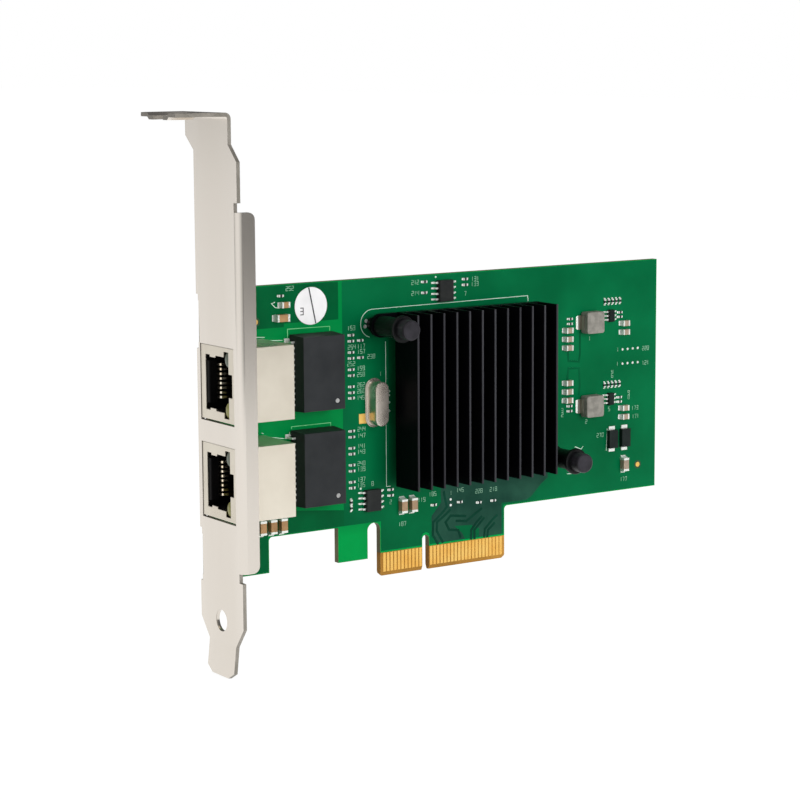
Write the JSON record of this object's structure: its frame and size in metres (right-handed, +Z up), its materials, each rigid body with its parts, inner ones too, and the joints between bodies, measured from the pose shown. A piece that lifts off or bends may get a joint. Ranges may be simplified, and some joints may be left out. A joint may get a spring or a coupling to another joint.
{
  "type": "network interface card",
  "caption": "Network interface card: board with card edge, finned heatsink and side-by-side shielded jacks behind a full-height bracket.",
  "frame": {"origin": "centre of the key notch at the tip of the card edge, on the board's component face", "axes": "+X along the card from the bracket to its free end, +Z up from the card edge to the bracket's foot, component face looks towards -Y"},
  "size_m": [0.1383, 0.0223, 0.122],
  "materials": {
    "solder_mask": "semi-gloss green coat over laminate",
    "gold_plate": "polished gold plating",
    "plated_steel": "bright plated sheet steel",
    "screw_steel": "bright plated",
    "jack_shield_metal": "satin plated sheet",
    "jack_plastic": "moulded black",
    "contact_gold": "gold plated spring wire",
    "clear_lens": "milky clear lens",
    "yellow_lens": "milky yellow-green lens",
    "mould_compound": "moulded epoxy",
    "tinned_lead": "bright tin plating",
    "anodised": "black anodised",
    "black_nylon": "moulded nylon",
    "crystal_can": "drawn nickel silver can",
    "pad_silicone": "soft thermal pad",
    "inductor_body": "pressed iron powder",
    "ceramic": "fired ceramic",
    "resistor_glass": "black glass coat",
    "label_vinyl": "printed vinyl label"
  },
  "bodies": {
    "root": {"circuit_board": "solder_mask", "edge_contacts_front": "gold_plate", "edge_contacts_back": "gold_plate", "mounting_bracket": "plated_steel", "bracket_screws": "screw_steel", "jack_shield_upper": "jack_shield_metal", "jack_shield_lower": "jack_shield_metal", "jack_housing_upper": "jack_plastic", "jack_housing_lower": "jack_plastic", "jack_contacts_upper": "contact_gold", "jack_contacts_lower": "contact_gold", "link_light_upper": "clear_lens", "link_light_lower": "clear_lens", "activity_light_upper": "yellow_lens", "activity_light_lower": "yellow_lens", "magnetics_upper": "mould_compound", "magnetics_lower": "mould_compound", "magnetics_leads_upper": "tinned_lead", "magnetics_leads_lower": "tinned_lead", "controller_chip": "mould_compound", "thermal_pad": "pad_silicone", "heatsink": "anodised", "push_pins": "black_nylon", "crystal": "crystal_can", "flash_chip": "mould_compound", "flash_chip_leads": "tinned_lead", "power_switch": "mould_compound", "power_switch_leads": "tinned_lead", "regulators": "mould_compound", "regulator_leads": "tinned_lead", "power_inductor_upper": "inductor_body", "power_inductor_lower": "inductor_body", "inductor_leads": "tinned_lead", "diodes": "mould_compound", "diode_leads": "tinned_lead", "chip_resistors": "resistor_glass", "chip_resistor_ends": "tinned_lead", "ceramic_capacitors": "ceramic", "capacitor_ends": "tinned_lead", "inspection_label": "label_vinyl", "fiducial_marks": "gold_plate"}
  },
  "joints": []
}
